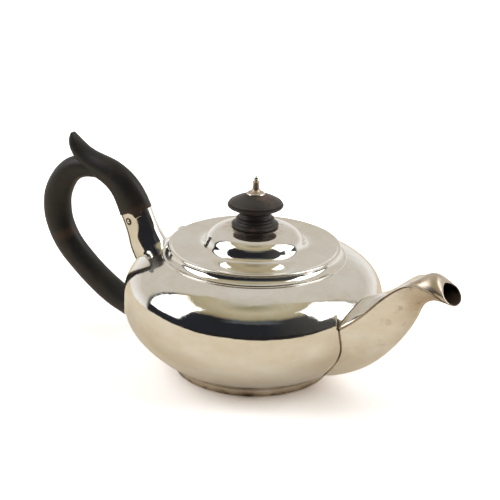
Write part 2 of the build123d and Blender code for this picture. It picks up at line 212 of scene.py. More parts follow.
def flat_sheet(name, near, far, half_width, height):
    """Level rectangle in the camera's bearing: near and far are distances from the pot's axis,
    towards and away from the camera."""
    corners = [
        level * side * half_width + towards * reach + Vector((0, 0, height))
        for side, reach in ((-1, near), (1, near), (1, -far), (-1, -far))
    ]
    mesh = bpy.data.meshes.new(name)
    mesh.from_pydata([tuple(c) for c in corners], [], [(0, 1, 2, 3)])
    sheet = bpy.data.objects.new(name, mesh)
    bpy.context.scene.collection.objects.link(sheet)
    return sheet


def stage_paint(sheet, colour, glow):
    """Matt paint of one colour with some light of its own, as its radiance."""
    material = bpy.data.materials.new(sheet.name)
    material.use_nodes = True
    paint = Paint(material.node_tree)
    matt = paint.node("ShaderNodeBsdfDiffuse", {}, [colour])
    own = paint.node("ShaderNodeEmission", {}, [(*glow, 1.0), 1.0])
    both = paint.node("ShaderNodeAddShader", {}, [matt, own])
    paint.node("ShaderNodeOutputMaterial", {}, [both])
    sheet.data.materials.append(material)


# The table as the silver mirrors it ends close in front of the pot; the floor that the camera
# sees is the same height, wider, and as bright as an overexposed sweep.
table = flat_sheet("table_top", 0.317, 0.55, 2.5, -0.0004)
stage_paint(table, rgb(220, 210, 192), (0.20, 0.178, 0.145))
table.visible_camera = False
floor = flat_sheet("studio_floor", 9.0, 9.0, 9.0, -0.0002)
stage_paint(floor, (2.0, 2.07, 2.28, 1.0), (0.05, 0.03, 0.01))
floor.visible_diffuse = floor.visible_glossy = floor.visible_shadow = False


# ---------------------------------------------------------------- bowl
# The bowl is raised from one disc of sterling sheet: a flat floor, a swelling belly and a low
# shoulder that closes in to the mouth. It is planished by hand and polished, and behind the
# spout its wall is drilled as a strainer.
bowl_wall = 1.0
bowl_floor = 2.6
belly = 73.2
belly_height = 40.0
shoulder = (51.2, 67.6)
foot_joint = (46.4, 4.9)


def bezier(p0, p1, p2, p3, steps):
    """Cubic Bezier curve: the usual blend of four control points."""
    t = np.linspace(0, 1, steps)[:, None]
    p0, p1, p2, p3 = (np.array(p, float) for p in (p0, p1, p2, p3))
    return (1 - t)**3 * p0 + 3 * (1 - t)**2 * t * p1 + 3 * (1 - t) * t**2 * p2 + t**3 * p3


bowl_line = np.concatenate([
    bezier((34.2, bowl_floor), (41.2, bowl_floor), (43.6, bowl_floor + 0.4), foot_joint, 14)[:-1],
    bezier(foot_joint, (belly - 6.4, 18.5), (belly, belly_height - 11), (belly, belly_height), 56),
    bezier((belly, belly_height), (belly, belly_height + 6), (belly + 2.2, 59.8), shoulder, 64)[1:],
])


def inset(line, distance):
    """A line moved sideways by a distance along its normals, to the left of its direction."""
    slope = np.gradient(line, axis=0)
    slope /= np.linalg.norm(slope, axis=1)[:, None]
    return line + distance * np.stack([-slope[:, 1], slope[:, 0]], -1)


floor_out = np.stack([np.linspace(0, 33, 12), np.full(12, bowl_floor)], -1)
floor_in = floor_out + (0, bowl_wall)
bowl_profile = np.concatenate(
    [floor_out, bowl_line, inset(bowl_line, bowl_wall)[::-1], floor_in[::-1]]
)


def grid_mesh(name, points, wrap_u=False, wrap_v=False, sharp=40.0):
    """Mesh of a grid of points (rows, columns, 3): quads join each point to its neighbours, and
    wrap joins the last row or column to the first. UV runs 0 to 1 along the grid. Repeated
    points, such as a pole's, are merged; edges sharper than the given angle shade as creases."""
    rows, cols = points.shape[:2]
    index = np.arange(rows * cols).reshape(rows, cols)
    a = np.concatenate([index, index[:1]]) if wrap_u else index
    a = np.concatenate([a, a[:, :1]], 1) if wrap_v else a
    quads = np.stack([a[:-1, :-1], a[1:, :-1], a[1:, 1:], a[:-1, 1:]], -1).reshape(-1, 4)
    u, v = np.meshgrid(np.arange(a.shape[0]), np.arange(a.shape[1]), indexing="ij")
    uv = np.stack([u / (a.shape[0] - 1), v / (a.shape[1] - 1)], -1)
    loops = np.stack([uv[:-1, :-1], uv[1:, :-1], uv[1:, 1:], uv[:-1, 1:]], 2).reshape(-1, 4, 2)
    mesh = bpy.data.meshes.new(name)
    mesh.from_pydata(points.reshape(-1, 3), [], quads)
    layer = mesh.uv_layers.new(name="surface")
    layer.data.foreach_set("uv", loops.reshape(-1).astype(np.float32))
    return finished(name, mesh, sharp)


def finished(name, mesh, sharp=40.0):
    """Object from a mesh with its doubles merged, its faces turned outwards, and smooth
    shading except at creases."""
    shell = bmesh.new()
    shell.from_mesh(mesh)
    bmesh.ops.remove_doubles(shell, verts=shell.verts, dist=1e-7)
    bmesh.ops.dissolve_degenerate(shell, edges=shell.edges, dist=1e-8)
    bmesh.ops.recalc_face_normals(shell, faces=shell.faces)
    shell.to_mesh(mesh)
    shell.free()
    mesh.polygons.foreach_set("use_smooth", np.ones(len(mesh.polygons), bool))
    mesh.set_sharp_from_angle(angle=math.radians(sharp))
    piece = bpy.data.objects.new(name, mesh)
    bpy.context.scene.collection.objects.link(piece)
    return piece


def turned(name, profile, around=256, sharp=40.0, across=None):
    """Surface of revolution: each profile point (radius, height) in millimetres goes round the
    Z axis in a circle, or round a line parallel to Y through the place in across."""
    profile = np.asarray(profile, float) * MM
    angle = np.linspace(0, 2 * math.pi, around, endpoint=False)
    r, z = profile[:, :1], profile[:, 1:]
    points = np.stack([r * np.cos(angle), r * np.sin(angle), z + 0 * angle], -1)
    if across:
        points = points[..., [0, 2, 1]] + np.array((across[0], 0, across[1])) * MM
    return grid_mesh(name, points, wrap_v=True, sharp=sharp)


def merged(name, first, second, operation, sharp=40.0):
    """First piece joined with or cut by the second, which is used up."""
    cutter = first.modifiers.new("merge", "BOOLEAN")
    cutter.operation, cutter.solver, cutter.object = operation, "EXACT", second
    bpy.context.view_layer.update()
    shape = first.evaluated_get(bpy.context.evaluated_depsgraph_get())
    mesh = bpy.data.meshes.new_from_object(shape)
    for used in (first, second):
        bpy.data.objects.remove(used)
    mesh.materials.clear()
    return finished(name, mesh, sharp)


def drills(name, centres, radius, near, far, around=24):
    """Closed prisms along X from near to far, one at each centre (y, z) in millimetres."""
    angle = np.linspace(0, 2 * math.pi, around, endpoint=False)
    ring = radius * np.stack([0 * angle, np.cos(angle), np.sin(angle)], -1)
    ends = np.array([(near, 0, 0), (far, 0, 0)])[:, None] + ring
    middle = np.concatenate([np.zeros((len(centres), 1)), centres], 1)
    points = (middle[:, None, None] + ends[None]) * MM
    first = np.arange(len(centres))[:, None] * 2 * around
    k = np.arange(around)
    sides = np.stack([k, (k + 1) % around, (k + 1) % around + around, k + around], -1)
    walls = (first[..., None] + sides[None]).reshape(-1, 4).tolist()
    caps = (first + k).tolist() + (first + k + around).tolist()
    mesh = bpy.data.meshes.new(name)
    mesh.from_pydata(points.reshape(-1, 3), [], walls + caps)
    return finished(name, mesh)


bowl = turned("raised_bowl", bowl_profile, around=320)
strainer_pitch = 6.4
strainer_bottom = 24.0
strainer_hole_radius = 1.5
strainer_centres = np.array([
    (
        (i - (3 + row % 2) / 2) * strainer_pitch,
        strainer_bottom + row * strainer_pitch * math.sin(math.pi / 3),
    )
    for row in range(5) for i in range(4 + row % 2)
])
strainer_drills = drills("strainer_drills", strainer_centres, strainer_hole_radius, 55.0, 90.0)
bowl = merged("raised_bowl", bowl, strainer_drills, "DIFFERENCE")


def bowl_radius(height):
    """Radius of the bowl's outside at a height, both in metres."""
    return np.interp(height / MM, bowl_line[:, 1], bowl_line[:, 0]) * MM


def silver(name, wave=1.0, tarnish=0.25, stains_and_shade=None, worn=None):
    """Sterling silver, a mirror with slow waves from the hammer, hair-fine scratches, small pits
    and warm tarnish in sheltered places. wave scales the hammer's waves and tarnish the warm
    patches. seams and worn are functions of the finish's paint and place: how stained a place
    is, or how deep the painted shade some parts are given, where more than 1 is a dark crust,
    and how dull it is rubbed."""
    material = bpy.data.materials.new(name)
    material.use_nodes = True
    paint = Paint(material.node_tree)
    place = paint.node("ShaderNodeTexCoord", output=3)
    patches = paint.noise(place, 55.0, 4.0, 0.6)
    specks = paint.noise(place, 900.0, 2.0, 0.6)
    film = patches.over(0.62, 0.30) * tarnish
    # stains, and for some parts painted shade, deepen the film; above 1 they paint a dark crust
    if stains_and_shade:
        film = film + stains_and_shade(paint, place) * (0.45 + 0.8 * patches)
    crust, film = (film - 1.0).clamped(), film.clamped()
    level_place = paint.node("ShaderNodeMapping", {}, {"Vector": place, "Scale": (1.0, 1.0, 2.4)})
    clouds = paint.noise(level_place, 34.0, 4.0, 0.62)
    clean = paint.mix(clouds.over(0.5, 0.30), (0.87, 0.83, 0.76, 1), (0.95, 0.95, 0.945, 1))
    colour = paint.mix(film, clean, (0.60, 0.50, 0.40, 1.0))
    colour = paint.mix(crust, colour, (0.045, 0.032, 0.025, 1.0))
    pits = specks.over(0.74, 0.05) * patches.over(0.5, 0.2)
    colour = paint.mix(pits * 0.5, colour, (0.33, 0.27, 0.22, 1.0))
    hairs = [
        paint.node("ShaderNodeTexNoise", {}, {
            "Vector": paint.node("ShaderNodeMapping", {}, {
                "Vector": place, "Rotation": turn, "Scale": (1.0, 26.0, 9.0)}),
            "Scale": 95.0, "Detail": 3.0, "Roughness": 0.7})
        for turn in ((0.3, 0.2, 0.4), (1.1, 0.5, 2.0))
    ]
    scratches = (hairs[0].over(0.66, 0.10) + hairs[1].over(0.67, 0.10)).clamped()
    rough = 0.045 + 0.06 * scratches + 0.30 * film + 0.12 * pits + 0.03 * patches + 0.2 * crust
    hammer = paint.noise(place, 62.0, 1.0, 0.4) + 0.28 * paint.noise(place, 190.0, 1.0, 0.5)
    if worn:
        rough = rough + worn(paint, place)
    height = hammer * wave - 0.012 * scratches - 0.02 * pits
    bump = paint.node("ShaderNodeBump", {}, {"Distance": 0.00022, "Height": height})
    end = {"Base Color": colour, "Metallic": 1.0, "Roughness": rough, "Normal": bump}
    surface = paint.node("ShaderNodeBsdfPrincipled", {}, end)
    paint.node("ShaderNodeOutputMaterial", {}, [surface])
    return material


def near_spout_or_foot(paint, place):
    """Stained where the foot and the spout are soldered on."""
    x, y, z = paint.axes(place)
    foot = 1.0 - z.over(0.0075, 0.009)
    spout = x.over(0.058, 0.016) * (1.0 - y.of("ABSOLUTE").over(0.031, 0.008))
    joint = 1.0 - z.over(0.0060, 0.0012)
    return foot * 0.45 + joint * 1.9 + spout * (1.0 - z.over(0.052, 0.02)) * 0.30


bowl.data.materials.append(silver("bowl_silver", 1.0, 0.16, near_spout_or_foot))
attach(bowl, "pot")
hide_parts("body_bowl")


# ---------------------------------------------------------------- foot
# A drawn silver ring is soldered under the bowl and flares a little to the edge it stands on;
# its solder seam shows as a fine dark line.
foot_points = [
    (43.2, 5.4), (42.9, 2.6), (42.8, 0.6), (43.3, 0.0), (44.0, 0.0), (44.5, 0.45), (45.1, 2.3),
    (45.9, 4.3), (46.7, 4.95), (46.9, 5.5), (46.0, 5.7), (44.6, 5.2), (43.2, 5.4),
]


def spline(values, at):
    """Natural cubic spline through values at 0, 1, 2 and so on, read at the places in at: the
    second derivatives solve the usual three-term equations, so the curve has no kinks."""
    values = np.asarray(values, float)
    n = len(values)
    system = np.eye(n)
    bend = np.zeros(n)
    inner = np.arange(1, n - 1)
    system[inner, inner - 1], system[inner, inner], system[inner, inner + 1] = 1, 4, 1
    bend[inner] = 6 * (values[2:] - 2 * values[1:-1] + values[:-2])
    second = np.linalg.solve(system, bend)
    i = np.clip(np.floor(at).astype(int), 0, n - 2)
    t = at - i
    u = 1 - t
    return (
        u * values[i] + t * values[i + 1]
        + ((u**3 - u) * second[i] + (t**3 - t) * second[i + 1]) / 6
    )


def rounded_run(points, steps=6):
    """A closed or open profile through sparse points, refined with the natural spline by its
    running length, so that a few points give a smooth moulding."""
    points = np.asarray(points, float)
    at = np.linspace(0, len(points) - 1, (len(points) - 1) * steps + 1)
    return np.stack([spline(points[:, 0], at), spline(points[:, 1], at)], -1)


foot = turned("soldered_foot", rounded_run(foot_points, 8)[:-1], around=256)


def foot_stain_and_shade(paint, place):
    """Old polish in the joint with the bowl, and painted shade that darkens the foot to the floor.
    """
    z = paint.axes(place)[2]
    blotch = paint.noise(place, 160.0, 3.0).over(0.55, 0.3)
    # below 3 mm the foot gets painted shade, down to a dark crust where it stands
    return blotch * 0.5 + z.over(0.0052, 0.0006) * 1.6 + (1.0 - z.over(0.0030, 0.004)) * 1.5


foot.data.materials.append(silver("foot_silver", 0.7, 0.4, foot_stain_and_shade))
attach(foot, "pot")
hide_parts("foot_ring")


# ---------------------------------------------------------------- collar
# A cove moulding round the mouth: a bead where it meets the shoulder, a hollow neck, and a
# square lip turned down inside as the lid's seat.
collar_top = 71.7
mouth = 45.4
collar_profile = np.concatenate([
    rounded_run([(51.9, 66.9), (52.0, 67.7), (51.4, 68.1), (50.6, 68.2)], 5),
    rounded_run([(50.2, 68.25), (48.7, 69.2), (47.7, 70.5), (47.4, 71.4), (46.9, collar_top)], 8),
    np.array([
        (mouth + 0.2, collar_top), (mouth, collar_top - 0.2), (mouth, 66.5), (mouth + 1.2, 66.3),
        (50.0, 66.6),
    ]),
])
collar = turned("cove_collar", np.concatenate([collar_profile, collar_profile[:1]]), around=256)
collar.data.materials.append(silver("collar_silver", 0.55, 0.3))
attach(collar, "pot")
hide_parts("mouth_collar")


# ---------------------------------------------------------------- spout
# Two stampings soldered along a crest on each side: a shallow arched top that overhangs a deep
# keeled underside, bending over to an oval mouth that faces forwards and up.
spout_wall = 1.3 * MM
crest_lift, crest_bead = 0.35, 0.85
# top point, bottom point, share of the way down of the widest place, half width
spout_stations = [
    ((62.5, 53.0), (47.5, 7.6), 0.27, 28.4),
    ((70.6, 57.2), (60.5, 10.6), 0.21, 25.6),
    ((79.6, 61.6), (75.8, 18.8), 0.13, 20.6),
    ((87.4, 66.2), (88.0, 30.8), 0.02, 15.6),
    ((93.7, 71.6), (96.6, 42.6), 0.015, 11.5),
    ((98.8, 74.7), (101.8, 52.4), 0.03, 9.5),
    ((103.6, 77.8), (104.9, 60.0), 0.16, 8.8),
    ((107.9, 80.2), (109.0, 64.6), 0.35, 8.7),
    ((111.6, 81.0), (113.8, 66.8), 0.46, 8.8),
    ((114.3, 79.9), (119.4, 67.0), 0.50, 8.9),
    ((116.3, 77.8), (125.3, 66.4), 0.50, 8.8),
]
crest_drop = [0, 0, 0, 0, 0, 0, 0, 2, 6, 20, 40]
crest_flange = [0.3, 0.5, 0.7, 0.8, 0.9, 1.0, 1.1, 1.2, 1.1, 0.7, 0.1]


def spout_place(s, angle, inwards):
    """Point of the spout's oval: across the station's plane it is a superellipse, pinched above
    its widest place (power 1.5) and full below it (power 2.3); inwards shrinks it."""
    column = [spline([v * MM for v in values], s) for values in zip(*(
        (*top, *bottom, top_share * 1000, half) for top, bottom, top_share, half in spout_stations
    ))]
    tx, tz, bx, bz, share, half = column
    length = np.hypot(bx - tx, bz - tz)
    dx, dz = (bx - tx) / length, (bz - tz) / length
    c, k = np.cos(angle), np.sin(angle)
    power = np.where(k > 0, 1.5, 2.3)
    sideways = np.sign(c) * np.abs(c) ** (2 / power) * (half - inwards)
    rise = np.where(k > 0, length * share - inwards, length * (1 - share) - inwards)
    up = np.sign(k) * np.abs(k) ** (2 / power) * rise
    down = length * share - up
    return np.stack([tx + dx * down, sideways, tz + dz * down], -1)


def spout_start(angle, inwards):
    """Station where each lengthwise line of the spout leaves the bowl's surface."""
    s = np.linspace(0, 5, 400)[:, None]
    points = spout_place(s, angle[None], inwards)
    inside = np.hypot(points[..., 0], points[..., 1]) < bowl_radius(points[..., 2])
    last = len(s) - 1 - inside[::-1].argmax(0)
    return s[last, 0]


def spout_shell(name, low, high, flange, rows=170, cols=72, round_steps=5):
    """One stamping: a ring of points goes over the outside from one crest to the other, round
    the edge and back inside, and travels from the bowl to the mouth."""
    run = np.linspace(0, 1, rows)[:, None]
    last = len(spout_stations) - 1
    even = np.linspace(0, 1, cols)[None]
    across = 0.35 * even + 0.65 * (1 - np.cos(math.pi * even)) / 2

    def side(inwards):
        """The wall's face at a distance inwards, with the crest's bead and its lift."""
        start_angle = np.radians(low(np.full(cols, 2.0)) + (high(np.full(cols, 2.0)) - low(
            np.full(cols, 2.0))) * across[0])
        begin = spout_start(start_angle, inwards)[None] - 0.03
        s = begin + (last - begin) * run
        angle = np.radians(low(s) + (high(s) - low(s)) * across)
        # the crest is a narrow raised bead on a broader lift that fades over the outer tenth
        edge = np.minimum(across, 1 - across)
        lift = np.clip(1 - edge / 0.10, 0, 1) ** 1.5 * crest_lift
        lift = lift + np.exp(-((edge / 0.02) ** 4)) * crest_bead
        proud = spline([v * MM for v in crest_flange], s) * lift * flange
        return spout_place(s, angle, inwards - proud)

    outer, inner = side(0.0), side(spout_wall)
    ring = np.concatenate([outer, inner[:, ::-1]], 1)
    middle = 0.5 * (outer + inner)
    forward = outer[-1] - outer[-2]
    forward /= np.linalg.norm(forward, axis=1)[:, None]
    lips = []
    for turn in np.linspace(0, math.pi / 2, round_steps + 1)[1:]:
        shrink = math.cos(turn) * 0.98 + 0.02
        ahead = forward * spout_wall * 0.35 * math.sin(turn)
        a = middle[-1] + (outer[-1] - middle[-1]) * shrink + ahead
        b = middle[-1] + (inner[-1] - middle[-1]) * shrink + ahead
        lips.append(np.concatenate([a, b[::-1]], 0))
    root = np.concatenate([middle[0], middle[0][::-1]], 0)
    tip = lips[-1][:cols] * 0.5 + lips[-1][cols:][::-1] * 0.5
    tip = np.concatenate([tip, tip[::-1]], 0)
    points = np.concatenate([root[None], ring, np.array(lips), tip[None]], 0)
    return grid_mesh(name, points, wrap_v=True, sharp=50.0)


def crest_angle(s):
    """How far below its widest place the crest runs, in degrees."""
    return -spline(crest_drop, s)


spout_top = spout_shell("spout_top_shell", crest_angle, lambda s: 180 - crest_angle(s), 1.0)
spout_keel = spout_shell(
    "spout_keel_shell", lambda s: -180 - crest_angle(s), crest_angle, 0.0
)


def surface_axes(paint):
    """The shell's own UV: its run along the spout, then its way round the wall, which is the
    outside up to 0.493 and the inside after it."""
    return paint.axes(paint.node("ShaderNodeUVMap", {"uv_map": "surface"}))[:2]


def spout_stain_and_shade(low, high):
    """Stains and painted shade of one shell: a shade line along the crest, low to high from its
    edge.
    """
    def mask(paint, place):
        """Brown by the bowl's joint, blotches on the neck and a film over the tip; painted shade
        in a dark line along the crest, under its bead and overhang, and over the dark inside."""
        x = paint.axes(place)[0]
        lengthwise, round_wall = surface_axes(paint)
        blotch = paint.noise(place, 130.0, 5.0, 0.65)
        neck = x.between(0.090, 0.113, 0.014)
        seam = 1.0 - lengthwise.over(0.0185, 0.005)
        from_edge = 0.2465 - (round_wall - 0.2465).of("ABSOLUTE")
        # painted shade: a dark line beside and under the crest's bead
        crest = from_edge.between(low, high, 0.004)
        # painted shade: the inside of the tube is painted dark
        inside = round_wall.over(0.505, 0.01) * (1.0 - round_wall.over(0.995, 0.01))
        film = blotch.over(0.60, 0.10) * (0.10 + 0.65 * neck) + x.over(0.1015, 0.020) * 0.95
        return film + seam * 1.8 + crest * 1.6 + inside * 3.0
    return mask


def rubbed_crest(paint, place):
    """The raised bead along the crest is rubbed dull, so it shows as a light line."""
    round_wall = surface_axes(paint)[1]
    from_edge = 0.2465 - (round_wall - 0.2465).of("ABSOLUTE")
    return from_edge.between(-0.003, 0.020, 0.006) * 0.34


# each shell's band of painted shade along its crest, and its rubbed bead
for shell, node, line, worn in (
    (spout_top, "spout_upper_shell", (0.028, 0.036), rubbed_crest),
    (spout_keel, "spout_lower_shell", (-0.003, 0.011), None),
):
    shell.data.materials.append(
        silver(f"{shell.name}_silver", 0.9, 0.35, spout_stain_and_shade(*line), worn)
    )
    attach(shell, "pot")
    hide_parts(node)


# ---------------------------------------------------------------- lid
# Brim and dome are one sheet; the brim ends in a raised bead, and the dome swells up from it
# in a low bun with a flat crown for the knob.
lid_base = 72.05
lid_crown = 84.6
stud_hole = 1.62
lid_outline = np.concatenate([
    rounded_run([
        (46.4, lid_base + 0.02), (47.8, lid_base), (48.55, lid_base + 0.25),
        (48.7, lid_base + 0.75), (48.3, lid_base + 1.3), (47.5, lid_base + 1.48),
        (46.8, lid_base + 1.25), (46.2, lid_base + 0.98),
    ], 6),
    rounded_run([
        (45.6, lid_base + 0.92), (41.0, lid_base + 0.82), (37.0, lid_base + 0.76),
        (34.0, lid_base + 0.80), (31.2, lid_base + 1.1), (29.4, lid_base + 1.9),
        (28.2, lid_base + 3.2), (27.4, lid_base + 4.8), (26.6, lid_base + 6.4),
        (25.3, lid_base + 8.0), (23.4, lid_base + 9.5), (20.8, lid_base + 10.75),
        (17.0, lid_base + 11.8), (13.2, lid_crown - 0.15), (10.2, lid_crown),
        (8.0, lid_crown + 0.01),
    ], 8),
    np.array([(stud_hole, lid_crown)]),
])
lid_wall = 1.0
beyond_bead = 48
lid_inside = np.array([(stud_hole, lid_crown - lid_wall)])
under_line = inset(lid_outline[beyond_bead:-1], lid_wall)[::-1]
lid_profile = np.concatenate([lid_outline, lid_inside, under_line, lid_outline[:1]])
lid = turned("lid_sheet", lid_profile, around=288)


def round_the_knob(paint, place):
    """Tarnish that polishing misses, on the crown close to the knob."""
    x, y = paint.axes(place)[:2]
    away = (x * x + y * y) ** 0.5
    return (1.0 - away.over(0.0165, 0.005)) * paint.noise(place, 210.0, 4.0, 0.6).over(0.5, 0.2)


lid.data.materials.append(silver("lid_silver", 0.8, 0.2, round_the_knob))
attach(lid, "lid")
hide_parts("lid_cover")


# ---------------------------------------------------------------- sockets
# Two sockets of silver sheet, soldered to the bowl and flared where they meet it, hold the ends
# of the grip. Each rim has a high lobe round its rivet, a dip, and a small tab at the front.
upper_socket = [
    (-81.8, 77.1, 25.3, 10.5, 7.0),
    (-79.3, 71.8, 25.3, 10.5, 7.0),
    (-76.4, 65.2, 28.0, 10.8, 7.4),
    (-72.4, 57.4, 34.0, 11.9, 8.8),
    (-62.0, 43.0, 52.0, 12.6, 10.4),
]
lower_socket = [
    (-85.8, 16.9, 75.0, 8.0, 6.4),
    (-81.0, 15.6, 79.0, 8.0, 6.4),
    (-73.0, 14.4, 87.0, 8.3, 6.9),
    (-62.0, 14.6, 96.0, 8.9, 8.1),
    (-47.0, 17.5, 100.0, 8.4, 8.8),
]


def tube(stations, s, angle, grow=0.0):
    """Point of a tube of oval section: the centre, size and tilt run smoothly through the
    stations, and angle goes round the oval from the end of its longer axis."""
    x, z, tilt, long_half, short_half = (spline(v, s) for v in zip(*stations))
    tilt = np.radians(tilt)
    out = (long_half + grow) * np.cos(angle)
    return np.stack([
        x + out * np.cos(tilt), (short_half + grow) * np.sin(angle), z + out * np.sin(tilt)
    ], -1) * MM


def rim_drop(u):
    """How far a socket's rim lies below its mouth's plane, in millimetres: a high lobe, a dip
    and a tab, softened by averaging. u runs from -1 to 1 along the mouth's longer axis."""
    shifts = np.linspace(-0.03, 0.03, 5)
    table = ([-0.05, 0.2, 0.28, 0.66, 0.74], [0.5, 2.0, 4.6, 4.1, 1.2])
    return sum(np.interp(u + shift, *table) for shift in shifts) / len(shifts)


def rim_reach(stations, angle, socket, low, high, grow=0.0):
    """Place between low and high along a tube where each of its lines crosses the rim."""
    x, z, tilt, half = socket[0][:4]
    c, k = math.cos(math.radians(tilt)), math.sin(math.radians(tilt))
    s = np.linspace(low, high, 1500)[:, None]
    p = tube(stations, s, angle[None], grow) / MM
    u = ((p[..., 0] - x) * c + (p[..., 2] - z) * k) / half
    v = (p[..., 2] - z) * c - (p[..., 0] - x) * k
    above = v > -rim_drop(u)
    return s[(above[1:] != above[:-1]).argmax(0), 0]


def socket_shell(name, stations, around=256):
    """Sheet socket: outside from the bowl up to the shaped rim, over it, and down inside."""
    angle = np.linspace(0, 2 * math.pi, around, endpoint=False)
    rim = rim_reach(stations, angle, stations, 0.0, 1.8)
    step = math.dist(stations[0][:2], stations[1][:2])
    s = np.linspace(0, len(stations) - 1, 600)[:, None]
    points = tube(stations, s, angle[None])
    outside = np.hypot(points[..., 0], points[..., 1]) > bowl_radius(points[..., 2])
    end = s[np.argmin(outside, 0), 0] + 0.03
    down = np.linspace(1, 0, 90)[:, None]
    outer = tube(stations, rim + (end - rim) * down, angle[None])
    edge = [
        tube(
            stations, rim - 0.42 * math.sin(t) / step, angle,
            0.22 * math.sin(t) - 0.5 * (1 - math.cos(t)),
        )
        for t in np.linspace(0.2, math.pi - 0.3, 9)
    ]
    inner = tube(stations, rim + (end - rim) * np.linspace(0.01, 1, 30)[:, None], angle[None], -1.1)
    points = np.concatenate([outer, np.array(edge), inner], 0)
    return grid_mesh(name, points, wrap_u=True, wrap_v=True, sharp=45.0)


stain_radius = 2.2 * MM


def rivet_stain(place_of_rivet):
    """A dark ring of old polish round a rivet's head."""
    def mask(paint, place):
        x, _, z = paint.axes(place)
        dx, dz = x - place_of_rivet[0] * MM, z - place_of_rivet[1] * MM
        away = (dx * dx + dz * dz) ** 0.5
        return away.between(0.0, stain_radius, 0.0008) * 2.2
    return mask


upper_rivet = (-82.01, 71.47)
lower_rivet = (-81.49, 13.68)
for name, stations, rivet in (
    ("upper_handle_socket", upper_socket, upper_rivet),
    ("lower_handle_socket", lower_socket, lower_rivet),
):
    piece = socket_shell(f"{name}_sheet", stations)
    piece.data.materials.append(silver(f"{name}_silver", 0.5, 0.3, rivet_stain(rivet)))
    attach(piece, "pot")
    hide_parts(name)


# ---------------------------------------------------------------- rivets
# A silver pin goes through each socket and the wood inside it, and its ends are peened to low
# domes that sit in a ring of old polish.
rivet_head = [(0, 1.0), (0.5, 0.97), (0.9, 0.8), (1.2, 0.5), (1.25, 0.2)]
for name, half, place in (
    ("upper_socket_rivet", 6.35, upper_rivet),
    ("lower_socket_rivet", 5.75, lower_rivet),
):
    profile = [(r, half + h * 0.95) for r, h in rivet_head]
    profile += [(r, -h) for r, h in profile[::-1]]
    piece = turned(f"{name}_pin", profile, around=48, across=place)
    piece.data.materials.append(silver(f"{name}_silver", 0.3, 0.5))
    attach(piece, "pot")
    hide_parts(name)


# ---------------------------------------------------------------- grip
# One piece of black wood: a short branch rises from the upper socket and curls up as the
# thumb-piece, and the main loop springs from under it and comes round to the lower socket.
# It is oiled and worn to a satin, with a stepped tenon pinned inside each socket.
branch = [
    (-79.3, 71.8, 25.3, 10.85, 7.35),
    (-81.4, 76.2, 25.3, 10.85, 7.35),
    (-85.4, 84.0, 30.0, 10.4, 7.2),
    (-91.5, 91.4, 47.0, 9.4, 6.9),
    (-100.4, 96.8, 66.0, 8.3, 6.6),
    (-110.2, 99.9, 72.0, 7.3, 6.3),
    (-118.6, 104.0, 58.0, 6.0, 5.8),
    (-124.0, 109.0, 40.0, 4.5, 5.2),
    (-126.5, 113.2, 24.0, 2.5, 4.0),
    (-127.2, 116.3, 12.0, 0.9, 1.8),
]
loop = [
    (-104.0, 97.4, 82.0, 6.0, 5.6),
    (-115.5, 97.6, 96.0, 6.6, 6.0),
    (-126.4, 94.2, 122.0, 7.2, 6.4),
    (-134.2, 86.4, 148.0, 8.0, 6.7),
    (-138.9, 76.6, 168.0, 8.8, 6.9),
    (-139.7, 68.0, 179.0, 9.2, 7.0),
    (-138.4, 59.4, 192.0, 9.2, 7.0),
    (-132.4, 47.8, 215.0, 9.0, 6.9),
    (-122.3, 37.8, 230.0, 8.7, 6.8),
    (-110.4, 28.8, 238.0, 8.6, 6.8),
    (-98.6, 21.9, 246.0, 8.5, 6.8),
    (-91.0, 18.8, 250.0, 8.35, 6.75),
    (-81.0, 15.6, 256.0, 8.35, 6.75),
]


def grip_tube(name, stations, begin, end, ends, rows=170, around=128):
    """Tube of wood: begin and end give each line's first and last place along the stations,
    and ends is (first ring's extra rows, last ring's), each row (places, growth)."""
    angle = np.linspace(0, 2 * math.pi, around, endpoint=False)
    run = np.linspace(0, 1, rows)[:, None]
    body = tube(stations, begin + (end - begin) * run, angle[None])
    heads = [tube(stations, begin + ds, angle, grow)[None] for ds, grow in ends[0]]
    tails = [tube(stations, end + ds, angle, grow)[None] for ds, grow in ends[1]]
    points = np.concatenate(heads + [body] + tails, 0)
    caps = [np.broadcast_to(row.mean(0), row.shape)[None] for row in (points[0], points[-1])]
    return grid_mesh(name, np.concatenate([caps[0], points, caps[1]], 0), wrap_v=True)


tenon_step = 1.75
turn = np.linspace(0, 2 * math.pi, 128, endpoint=False)
upper_rim = rim_reach(branch, turn, upper_socket, 0.0, 1.6)
lower_rim = rim_reach(loop, turn, lower_socket, len(loop) - 2.2, len(loop) - 1.0)
branch_piece = grip_tube(
    "branch", branch, upper_rim + 0.06, np.full(128, len(branch) - 1.0),
    ([(-0.25, -tenon_step), (-0.05, -tenon_step), (-0.045, -0.35), (-0.03, -0.12)],
     [(0.02, -0.25), (0.035, -0.6)]),
)
loop_piece = grip_tube(
    "loop", loop, np.full(128, 0.0), lower_rim - 0.04,
    ([], [(0.02, -0.12), (0.03, -0.35), (0.035, -tenon_step), (0.15, -tenon_step)]),
)
grip = merged("carved_grip", branch_piece, loop_piece, "UNION", 32.0)


